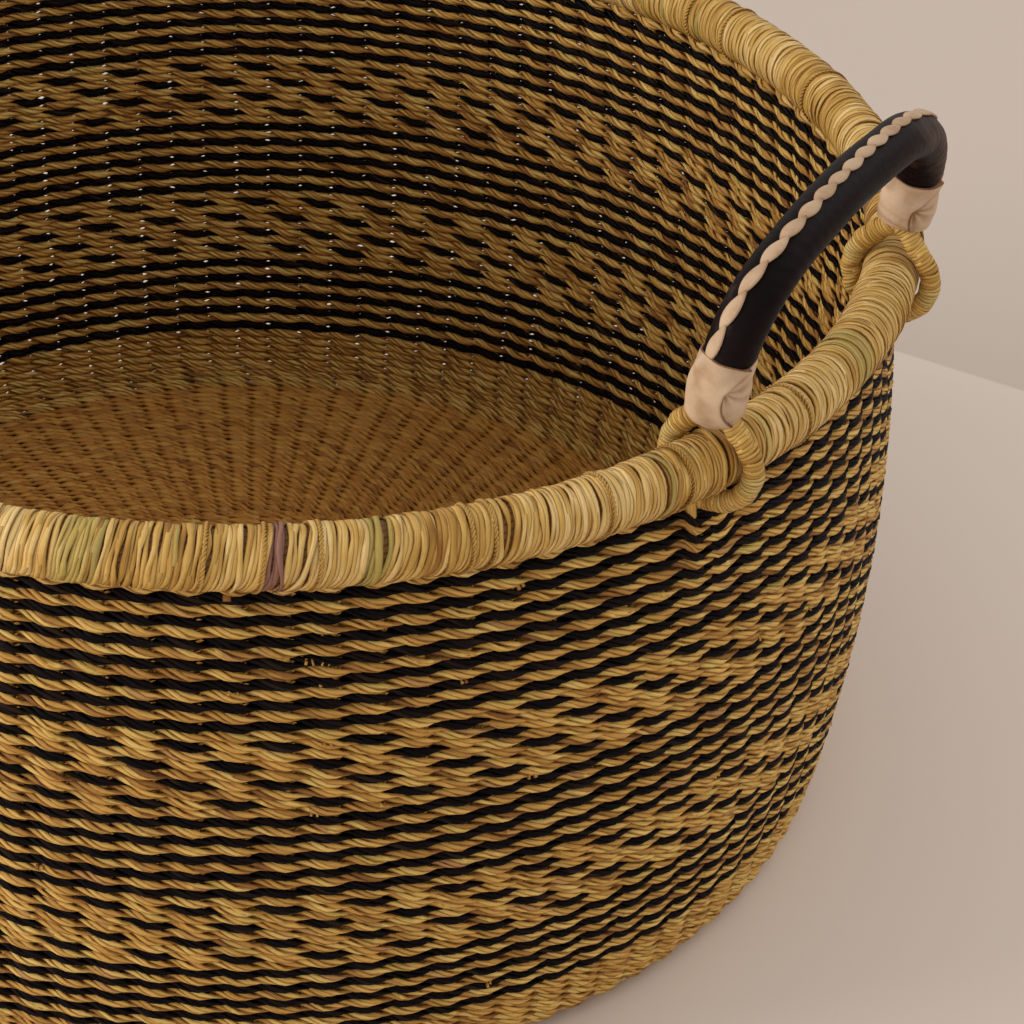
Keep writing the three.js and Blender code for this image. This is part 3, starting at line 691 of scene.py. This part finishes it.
# Loops: under each end of a handle a rope goes round the rim and through the weave, and both its legs go up
# into the handle. Each is wound with fine straw and turns round the rim as the handle swings.
LEAN = math.radians(7.7)
HINGE_RADIUS = RIM_RADIUS * math.cos(LOOP_TURN)
HALF_CHORD = RIM_RADIUS * math.sin(LOOP_TURN)
ROPE_RADIUS = 3.5 * MM
ROPE_TONE = 0.4
LOOP_RADIUS = 15.41 * MM
LOOP_LEG = math.radians(42)
LOOP_BEND_HEIGHT = 17.05 * MM
LOOP_BEND_RADIUS = 4 * MM
LOOP_WINDS = 82
WIND_SAMPLES = 16
WIND_HALF_WIDTH = 0.86 * MM
WIND_HALF_THICKNESS = 0.5 * MM
SIDES = [("right", 0.0), ("left", math.pi)]
LOOP_SEEDS = {"right": 51, "left": 50}
FEET_MOVED_IN = 3 * MM
TOP_LOWERED = 2.2 * MM


def in_place(points, turn):
    """Points from a handle's own frame, with its hinge along Y and its legs up, to where it stands.
    Its feet have settled a little towards the inside of the basket, and its top has sunk a little."""
    high = points[..., 2]
    settled = smooth_step(4 * MM, 22 * MM, high) * (1 - high / (84 * MM))
    beside = points[..., 0] - FEET_MOVED_IN * settled
    high = high - TOP_LOWERED * smooth_step(30 * MM, 80 * MM, high)
    x = HINGE_RADIUS + beside * math.cos(LEAN) + high * math.sin(LEAN)
    y = points[..., 1]
    z = RIM_HEIGHT + high * math.cos(LEAN) - beside * math.sin(LEAN)
    return np.stack([x * math.cos(turn) - y * math.sin(turn), x * math.sin(turn) + y * math.cos(turn), z], -1)


def spaced(line, count):
    """A closed line of points with even steps."""
    ends = np.concatenate([line, line[:1]])
    length = np.concatenate([[0], np.cumsum(np.linalg.norm(np.diff(ends, axis=0), axis=1))])
    along = np.linspace(0, length[-1], count, endpoint=False)
    return np.stack([np.interp(along, length, ends[:, k]) for k in range(line.shape[1])], -1)


def loop_line(count):
    """The loop's middle line, across the hinge, with even steps."""
    lower = np.linspace(math.pi - LOOP_LEG, 2 * math.pi + LOOP_LEG, 90)
    upper = np.linspace(LOOP_LEG, math.pi - LOOP_LEG, 20)
    lower = np.stack([np.cos(lower), np.sin(lower)], -1) * LOOP_RADIUS
    upper = np.stack([np.cos(upper), np.sin(upper)], -1) * LOOP_BEND_RADIUS + [0, LOOP_BEND_HEIGHT]
    return spaced(np.concatenate([lower, upper]), count)


def make_loop(name, turn, y, seed):
    rng = np.random.default_rng(seed)
    samples = LOOP_WINDS * WIND_SAMPLES
    line = loop_line(samples)
    ahead = unit(np.roll(line, -1, 0) - np.roll(line, 1, 0))
    flat = np.zeros(samples)
    away = np.stack([ahead[:, 1], flat, -ahead[:, 0]], -1)
    onward = np.stack([ahead[:, 0], flat, ahead[:, 1]], -1)
    centre = np.stack([line[:, 0], flat + y, line[:, 1]], -1)
    beside = np.array([0.0, 1.0, 0.0])
    phase = full_turn(samples)
    wind = phase * LOOP_WINDS
    slip = 0.22 * MM * ripple(rng, 1, phase, (31, 47, 88, 120, 167))[0]
    radius = ROPE_RADIUS - 0.3 * MM + 0.16 * MM * ripple(rng, 1, phase, (41, 60, 97, 150))[0]
    out = turned(away, beside, wind)
    middle = centre + out * radius[:, None] + onward * slip[:, None]
    # The straw lies along its winding, so its width is along the rope.
    narrow = 0.86 + 0.07 * (1 + np.cos(wind))
    half_width = WIND_HALF_WIDTH * (1 + 0.12 * ripple(rng, 1, phase, (25, 52, 90))) * narrow
    half_thick = np.full((1, samples), WIND_HALF_THICKNESS)
    tubes = straw_tubes(middle[None], onward[None], out[None], half_width, half_thick)
    tubes = (in_place(tubes[0], turn), *tubes[1:])
    tone = 0.45 + 0.12 * ripple(rng, 1, phase, (3, 7, 19, 44)) + 0.1 * np.sin(wind * 0.5)
    tone = np.where(np.sin(phase * 2 + seed) > 0.92, 0.88, np.clip(tone, 0.05, PLAIN_TONE))
    length = (wind * ROPE_RADIUS)[None]
    winding = add_straws(name + "_loop_winding", tubes, rim_grass, tone, length, seed * 10)
    middle = centre[None, ::WIND_SAMPLES]
    half = np.full((1, LOOP_WINDS), ROPE_RADIUS - 0.62 * MM)
    wide = np.broadcast_to(beside, middle.shape)
    points, faces, across = straw_tubes(middle, wide, away[None, ::WIND_SAMPLES], half, half, 10)
    run = np.stack([points[:, 0], across, points[:, 2]], -1)
    tone = np.full(len(points), ROPE_TONE)
    rope = add_mesh(name + "_loop_rope", in_place(points, turn), faces, inner_grass, tone, run)
    return winding, rope


def handle_part(piece, side, slot, *nodes):
    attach(piece, side + "_handle")
    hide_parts(*nodes)


for side, turn in SIDES:
    for end, y in (("near", -HALF_CHORD), ("far", HALF_CHORD)):
        name = side + "_" + end
        winding, rope = make_loop(name, turn, y, LOOP_SEEDS[side])
        handle_part(winding, side, "rim_grass", name + "_loop_wrap")
        handle_part(rope, side, "natural_grass", name + "_loop")

# Handle sleeve: soft black leather drawn round a rope core and closed along the outside of the bend.
# It creases finely across the inside of the bends.
LEG_FOOT = (72.97 * MM, 16.05 * MM)
LEG_AIM = (85.47 * MM, 62 * MM)
SHOULDER = (57.97 * MM, 75.6 * MM)
GRIP_TOP = (0.0, 75.6 * MM)
GRIP_RADIUS = 8.7 * MM
NEAR_SEAM_TURN = math.radians(-22)  # the seam bears towards the inside of the basket at the near cuff
CUFF_FOOT = 18.35 * MM
CUFF_LENGTH = 23.7 * MM
CORE_STRANDS = 5
CORE_STRAND_RADIUS = 2.5 * MM
CORE_RADIUS = 4.2 * MM  # to the middle of its strands
CORE_SAMPLES = 150
SLEEVE_SAMPLES = 520
SLEEVE_SIDES = 72
# The palest shade serves the painted sheen on the far bend.
BLACK_LEATHER_SHADES = [(0.0, 10, 3, 4), (0.45, 19, 6, 8), (1.0, 85, 65, 58)]


def leather(name, shades, gloss, grain, depth, shine):
    """Leather: shades by its tone, a fine grain, faint cloudy colour and soft creases."""
    material, shader = new_material(name)
    tone = add_node(material, "Attribute", {}, "Fac", attribute_name="tone")
    place = add_node(material, "TexCoord", {}, "Object")
    cloud = add_node(material, "TexNoise", {"Vector": place, "Scale": 160, "Detail": 8}, "Fac")
    cloudy = add_node(material, "Math", {0: tone, 1: add_range(material, cloud, -0.36, 0.36)}, "Value")
    cells = add_node(material, "TexVoronoi", {"Vector": place, "Scale": grain}, "Distance")
    fine = add_node(material, "TexNoise", {"Vector": place, "Scale": grain * 0.35, "Detail": 6}, "Fac")
    height = add_node(material, "Math", {0: cells, 1: fine}, "Value")
    relief = {"Height": height, "Distance": depth, "Strength": 0.6}
    finish = {
        "Base Color": add_shades(material, cloudy, shades),
        "Roughness": add_range(material, fine, gloss - 0.1, gloss + 0.12),
        "Normal": add_node(material, "Bump", relief, "Normal"),
        "Specular IOR Level": shine,
    }
    set_inputs(material, shader, finish)
    return material


black_leather = leather("black_leather", BLACK_LEATHER_SHADES, 0.5, 1500, 0.1 * MM, 0.09)


def bend(share, points):
    """A cubic curve through its end points."""
    a, b, c, d = (np.array(point) for point in points)
    share = share[:, None]
    rest = 1 - share
    return a * rest**3 + 3 * b * share * rest**2 + 3 * c * share**2 * rest + d * share**3


def arch_dense():
    """The handle's middle line from its near end to its far one, as (y, z), finely."""
    half = bend(np.linspace(0, 1, 600), (LEG_FOOT, LEG_AIM, SHOULDER, GRIP_TOP))
    near = half * np.array([-1, 1])
    return np.concatenate([near, half[-2::-1]])


ARCH = arch_dense()
ARCH_LENGTH = np.concatenate([[0], np.cumsum(np.linalg.norm(np.diff(ARCH, axis=0), axis=1))])
ARCH_AHEAD = unit(np.gradient(ARCH, axis=0))


def arch_at(lengths):
    """Middle, direction ahead and direction away from the hand at lengths along the handle, in its frame."""
    middle, ahead = (
        np.stack([0 * lengths] + [np.interp(lengths, ARCH_LENGTH, values[:, k]) for k in (0, 1)], -1)
        for values in (ARCH, ARCH_AHEAD)
    )
    away = np.stack([0 * lengths, -ahead[..., 2], ahead[..., 1]], -1)
    return middle, ahead, away


def length_at(height):
    """How far along the handle its near leg reaches a height above the hinge."""
    rising = ARCH[: len(ARCH) // 2]
    return float(np.interp(height, rising[:, 1], ARCH_LENGTH[: len(rising)]))


BESIDE = np.array([1.0, 0, 0])  # out of the plane of the handle, away from the basket
WHOLE_ARCH = ARCH_LENGTH[-1]
CUFF_START = length_at(CUFF_FOOT)
CUFF_END = length_at(CUFF_FOOT + CUFF_LENGTH)


def make_core(name, turn):
    """The rope in the sleeve: five strands laid round each other."""
    lengths = np.linspace(CUFF_START + 10 * MM, WHOLE_ARCH - CUFF_START - 10 * MM, CORE_SAMPLES)
    middle, ahead, away = arch_at(lengths)
    twist = lengths / (9 * MM) + np.arange(CORE_STRANDS)[:, None] * 2 * math.pi / CORE_STRANDS
    spoke = turned(away, BESIDE, twist)
    half = np.full(twist.shape, CORE_STRAND_RADIUS)
    middle = middle + spoke * CORE_RADIUS
    points, faces, across = straw_tubes(middle, np.cross(ahead, spoke), spoke, half, half, 8, False)
    run = np.stack([points[:, 1], across, points[:, 2]], -1)
    return add_mesh(name, in_place(points, turn), faces, inner_grass, np.full(len(points), ROPE_TONE), run)


def seam_turn(lengths):
    """Where the seam lies round the sleeve: straight away from the hand, but for its near end."""
    return NEAR_SEAM_TURN * (1 - smooth_step(CUFF_END, CUFF_END + 55 * MM, lengths))


def folds(place, pitch, shift=0.0):
    """Soft folds from 0 to 1, a pitch apart."""
    return 0.5 + 0.5 * np.sin(2 * math.pi * place / pitch + shift)


def make_sleeve(name, turn, seed):
    rng = np.random.default_rng(seed)
    foot = CUFF_START + 8.6 * MM
    lengths = np.linspace(foot, WHOLE_ARCH - foot, SLEEVE_SAMPLES)
    middle, ahead, away = arch_at(lengths)
    turning = (np.linalg.norm(np.gradient(ahead, axis=0), axis=1) / np.gradient(lengths))[:, None]
    along = lengths[:, None]
    # Around is 0 on the side away from the hand, where the leather's edges meet.
    around = np.arange(SLEEVE_SIDES) / SLEEVE_SIDES * 2 * math.pi
    inside = np.clip(-np.cos(around), 0, 1) ** 1.5
    bent = np.clip(turning / 14, 0, 1)
    creased = bent * inside
    wavy = along + 1.6 * MM * np.sin(2 * around + 1) + 0.9 * MM * np.sin(3 * around + 40 * along)
    radius = GRIP_RADIUS - 0.22 * MM * creased * folds(wavy, 2.3 * MM)
    radius = radius - 0.12 * MM * folds(wavy, 5.1 * MM) * np.clip(turning / 20, 0, 1)
    slack = sum(
        rng.normal() * np.sin(rng.uniform(30, 160) * along + (k % 3 + 1) * around + rng.uniform(0, 6))
        for k in range(9)
    )
    radius = radius + 0.05 * MM * slack
    # The seam: a shallow groove under the lace.
    from_seam = np.sin((around - seam_turn(along)) / 2) * 2 * GRIP_RADIUS
    radius = radius - 0.35 * MM * np.exp(-((from_seam / (1.2 * MM)) ** 2))
    spoke = turned(away[:, None], BESIDE, around)
    points = (middle[:, None] + spoke * radius[..., None]).reshape(-1, 3)
    # Painted highlight: the far bend is painted paler on its outer side, as a sheen where the light catches
    # it.
    far_bend = smooth_step(0.58, 0.72, along / WHOLE_ARCH) * bent
    painted_sheen = far_bend * np.clip(np.sin(around + 0.6), 0, 1)
    tone = 0.24 + 0.15 * creased + painted_sheen * (0.45 + 0.25 * folds(wavy, 1.5 * MM, 2 * slack)) + 0.04 * slack
    faces = tube_faces(1, SLEEVE_SAMPLES, SLEEVE_SIDES, False)
    return add_mesh(name, in_place(points, turn), faces, black_leather, tone)


for side, turn in SIDES:
    handle_part(make_core(side + "_handle_rope", turn), side, "natural_grass", side + "_handle_core")
    sleeve = make_sleeve(side + "_leather_sleeve", turn, 61)
    handle_part(sleeve, side, "black_leather", side + "_handle_sleeve")

# Lace: a flat strip of undyed leather whipped over the sleeve's seam. Each stitch shows as a leaf shape that
# narrows where it goes into the next hole.
STITCHES = 18
STITCH_SAMPLES = 21
STITCH_SIDES = 12
# The darker shades also carry the painted shade in the cuffs' folds and tuck and at the lace's stitch ends.
CREAM_SHADES = [
    (0.0, 100, 62, 38),
    (0.3, 162, 126, 94),
    (0.6, 192, 162, 133),
    (1.0, 208, 180, 152),
]
cream_leather = leather("cream_leather", CREAM_SHADES, 0.7, 2000, 0.12 * MM, 0.25)


def make_lace(name, turn, seed):
    rng = np.random.default_rng(seed)
    one_each = (STITCHES, 1)
    first = CUFF_END + 0.6 * MM
    step = (WHOLE_ARCH - 2 * first) / STITCHES
    share = np.linspace(-0.1, 1.1, STITCH_SAMPLES)
    lengths = first + (np.arange(STITCHES)[:, None] + share) * step
    lengths = np.clip(lengths, CUFF_END - 1.5 * MM, WHOLE_ARCH - CUFF_END + 1.5 * MM)
    middle, away = arch_at(lengths)[::2]
    swell = np.sin(math.pi * np.clip((share + 0.1) / 1.2, 0, 1) ** 0.85)
    uneven = 1 + 0.06 * rng.normal(size=one_each)
    half_width = (0.35 + 2.1 * swell) * MM * uneven
    half_thick = (0.4 + 0.35 * swell) * MM + 0 * half_width
    # Each stitch slants a little, so one point of its leaf lies beside the next one's.
    slant = ((share - 0.5) * 1.1 + 0.1 * rng.normal(size=one_each)) * MM / GRIP_RADIUS
    turn_round = seam_turn(lengths) + slant
    high = GRIP_RADIUS + (0.1 + 0.2 * swell + 0.4 * (share - 0.5)) * MM
    up = turned(away, BESIDE, turn_round)
    across = turned(BESIDE, -away, turn_round)
    middle = middle + up * high[None, :, None]
    points, faces, around = straw_tubes(middle, across, up, half_width, half_thick, STITCH_SIDES, False)
    # Painted shade: each stitch is painted darker towards its narrow ends, where it goes into the holes; it
    # is also darker at its two side edges.
    shade = 0.62 - 0.3 * (1 - swell) ** 2 + 0 * half_width + 0.05 * rng.normal(size=one_each)
    tone = np.repeat(shade.ravel(), STITCH_SIDES) - 0.15 * np.abs(around) ** 6
    return add_mesh(name, in_place(points, turn), faces, cream_leather, tone)


for side, turn in SIDES:
    handle_part(make_lace(side + "_seam_lace", turn, 71), side, "cream_leather", side + "_handle_lace")

# Cuffs: a patch of undyed leather drawn tight round each end of the handle, over the heads of the loops.
# Its edge is folded over and tucked in at one point, where pleats meet.
CUFF_TURN = math.radians(-58)  # from straight out of the basket to the tuck
CUFF_RADIUS = 10.2 * MM
CUFF_SIDES = 220
CUFF_ROWS = 104
# The height of a cuff's top above the hinge, its length, the radius of its neck, how far down its tuck is,
# and how deep its fine creases are.
CUFFS = {
    "near": (42.8 * MM, 22.2 * MM, 9.4 * MM, 0.36, 0.07 * MM),
    "far": (40.2 * MM, 19.5 * MM, 9.35 * MM, 0.55, 0.21 * MM),
}


def hump(place, width):
    """A soft hump, 1 high at the place 0, that has mostly gone by its width."""
    return np.exp(-((place / width) ** 2))


def make_cuff(name, turn, end, seed):
    rng = np.random.default_rng(seed)
    top, length, neck, tuck_down, crease_depth = CUFFS[end]
    around = np.arange(CUFF_SIDES) / CUFF_SIDES * 2 * math.pi
    # From just inside the top edge, over it, down the outside and round in under the bottom.
    flat = np.zeros(CUFF_ROWS)
    down = np.concatenate([[0, 0, 0], np.linspace(0, 1, CUFF_ROWS), [1, 1, 1]])[:, None]
    inset = np.concatenate([[2.1, 1.3, 0.5], flat, [0.8, 1.9, 3.0]])[:, None] * MM
    rise = np.concatenate([[-4.0, 0.0, 0.3], flat, [-0.5, -0.7, 2.5]])[:, None] * MM
    body = np.concatenate([[0, 0, 0], flat + 1, [0, 0, 0]])[:, None]
    # Narrow at its neck, widest over the heads of the loop's two legs, and drawn in at the bottom.
    swell = 0.9 * smooth_step(0.22, 0.55, down) - 0.35 * smooth_step(0.6, 0.9, down)
    plain = neck + (swell - 1.1 * np.clip((down - 0.86) / 0.14, 0, 1) ** 2) * MM
    off = (around - CUFF_TURN + math.pi) % (2 * math.pi) - math.pi  # from the tuck, round the cuff
    beside = off * CUFF_RADIUS
    below = (down - tuck_down) * length
    reach = np.hypot(beside, below)
    heading = np.arctan2(below, np.abs(beside) + 0.01 * MM)
    # The patch's edge: a fold from the tuck up to the top on the right, and an arc from it to the bottom.
    lower = np.maximum(below, 0)
    edge = beside - 0.95 * np.maximum(-below, 0) + 0.25 * lower - 48 * lower**2
    past_edge = np.maximum(edge, 0)
    on_right = smooth_step(2.2, 1.2, off)
    under = smooth_step(-0.15 * MM, 0.3 * MM, edge) * on_right
    over = smooth_step(0.3 * MM, -0.3 * MM, edge) * hump(edge + 0.3 * MM, 2.2 * MM)
    over = over * smooth_step(2.2, 1.2, np.abs(off))
    step = 0.9 * MM * under * hump(past_edge, 6.5 * MM) - 0.75 * MM * over
    sunk = 0.9 * MM * hump(reach, 2 * MM) * under
    fade = np.exp(-reach / (7 * MM)) * smooth_step(0.4 * MM, 1.8 * MM, reach) * under
    pleats = np.sin(heading * 10 + 0.8 * np.sin(heading * 4 + seed)) * fade
    crease = np.sin(down * length / (0.62 * MM) + 1.6 * np.sin(around * 2 + seed))
    crease = crease * np.clip(np.sin(around + seed) * np.sin(down * 5 + seed), 0, 1)
    soft = sum(
        rng.normal() * np.sin((k % 4 + 1) * around + rng.uniform(-2, 2) * down * 4 + rng.uniform(0, 6))
        for k in range(8)
    )
    # The knotted end of the strip that draws the patch tight stands out on the left, near the top.
    knot = 1.7 * MM * hump(beside + 1.25 * CUFF_RADIUS, 2.1 * MM) * hump(down * length - 3.6 * MM, 2.4 * MM)
    shape = 0.75 * MM * pleats - step - sunk + crease_depth * crease + 0.09 * MM * soft + knot
    radius = np.maximum(plain + body * shape, GRIP_RADIUS + 0.2 * MM) - inset
    # The top edge is highest at the end of the fold, where the part below it comes out.
    lip = 2.6 * MM * hump(off - 1.25, 0.4) + 0.9 * MM * hump(off + 1.0, 0.7) + 0.18 * MM * np.sin(5 * around)
    top_end = length_at(top)
    lengths = top_end - down * (top_end - length_at(top - length)) + rise + (1 - down) ** 3 * lip
    if end == "far":
        lengths = WHOLE_ARCH - lengths
    middle, away = arch_at(lengths)[::2]
    outward = away if end == "far" else -away
    spoke = turned(BESIDE, outward, around)
    points = (middle + spoke * radius[..., None]).reshape(-1, 3)
    # Painted light and shade: the tone is painted darker in a line along the folded edge, round the tuck and
    # under the fold, and lighter and darker over the pleats, soft folds and creases, following their shapes.
    painted_fold_shade = hump(edge, 0.42 * MM) * on_right
    tone = 0.6 - 0.6 * painted_fold_shade * body - 0.4 * np.exp(-reach / (1.3 * MM)) * under
    tone = tone + 0.3 * pleats + 0.04 * soft
    tone = tone - 0.12 * under * np.exp(-past_edge / (2 * MM)) + 0.03 * crease
    # Partly painted shade: the cut edge is darker leather, and what lies inside it is painted dark as the
    # shade in there.
    tone[:4] = 0.12  # the cut edge and what is inside it are dark
    faces = tube_faces(1, len(down), CUFF_SIDES, False)
    return add_mesh(name, in_place(points, turn), faces, cream_leather, tone)


for side, turn in SIDES:
    for end, seed in (("near", 81), ("far", 82)):
        cuff = make_cuff(side + "_" + end + "_leather_cuff", turn, end, seed)
        handle_part(cuff, side, "cream_leather", side + "_" + end + "_cuff")

# Room: one flat sheet, which is a plain pale floor and, beyond a straight line behind the basket, a slightly
# darker background.
FLOOR_COLOUR = colour(222, 207, 194)
BACK_COLOUR = colour(203, 188, 176)
BACK_LINE = 0.3927
ROOM_HALF = 6
corners = [(-ROOM_HALF, -ROOM_HALF), (ROOM_HALF, -ROOM_HALF), (ROOM_HALF, ROOM_HALF), (-ROOM_HALF, ROOM_HALF)]
floor_mesh = bpy.data.meshes.new("floor")
floor_mesh.from_pydata([(x, y, 0) for x, y in corners], [], [(0, 1, 2, 3)])
floor = add_object("floor", floor_mesh)
floor_finish, floor_shader = new_material("pale_floor")
floor_place = add_node(floor_finish, "TexCoord", {}, "Object")
far_side = add_node(floor_finish, "SeparateXYZ", {"Vector": floor_place}, "Y")
behind = add_range(floor_finish, far_side, 0.0, 1.0, BACK_LINE - MM, BACK_LINE + MM)
floor_mix = {"Factor": behind, "A": FLOOR_COLOUR, "B": BACK_COLOUR}
floor_shade = add_node(floor_finish, "Mix", floor_mix, "Result", data_type="RGBA")
set_inputs(floor_finish, floor_shader, {"Base Color": floor_shade, "Roughness": 0.8})
floor_mesh.materials.append(floor_finish)

# Light: one large soft lamp, low at the left, two weak ones, and even light all round.
# Each lamp has its name, its place and its power in watts.
LAMPS = [
    ("left_lamp", (-2.0, -1.6, 0.9), 53),
    ("back_lamp", (1.1, 1.3, 1.7), 11),
    ("front_lamp", (0.9, -2.3, 0.8), 6),
]
LAMP_SIZE = 1.6
LAMP_AIM = Vector((0, 0, 0.1))
for name, place, power in LAMPS:
    lamp_data = bpy.data.lights.new(name, "AREA")
    lamp_data.energy = power
    lamp_data.size = LAMP_SIZE
    lamp_data.color = (1.0, 0.95, 0.88)
    lamp = add_object(name, lamp_data)
    lamp.location = place
    lamp.rotation_euler = (LAMP_AIM - Vector(place)).to_track_quat("-Z", "Y").to_euler()
world = bpy.data.worlds.new("soft_room")
bpy.context.scene.world = world
world.use_nodes = True
set_inputs(world, world.node_tree.nodes["Background"], {"Color": (0.95, 0.93, 0.9, 1), "Strength": 0.67})

# Camera: a long lens that looks down on the near side of the rim, from between the front and the right
# handle. Its place and its angles come from a fit to the rim, the wall and the rows.
CAMERA_PLACE = Vector((556.7, -819.1, 765.6)) * MM
CAMERA_HEADING = math.radians(118.16)
CAMERA_PITCH = math.radians(34.404)
CAMERA_ROLL = math.radians(2.741)
SENSOR = 36.0
FOCAL_SHARE = 3000 / 1024  # focal length in picture widths
ahead = Vector((
    math.cos(CAMERA_HEADING) * math.cos(CAMERA_PITCH),
    math.sin(CAMERA_HEADING) * math.cos(CAMERA_PITCH),
    -math.sin(CAMERA_PITCH),
))
level = ahead.cross(Vector((0, 0, 1))).normalized()
upright = level.cross(ahead)
right = level * math.cos(CAMERA_ROLL) + upright * math.sin(CAMERA_ROLL)
top = upright * math.cos(CAMERA_ROLL) - level * math.sin(CAMERA_ROLL)
camera_data = bpy.data.cameras.new("camera")
camera_data.sensor_width = SENSOR
camera_data.lens = SENSOR * FOCAL_SHARE
camera = add_object("camera", camera_data)
camera.matrix_world = Matrix.Translation(CAMERA_PLACE) @ Matrix((right, top, -ahead)).transposed().to_4x4()
bpy.context.scene.camera = camera
bpy.context.scene.view_settings.view_transform = "Standard"
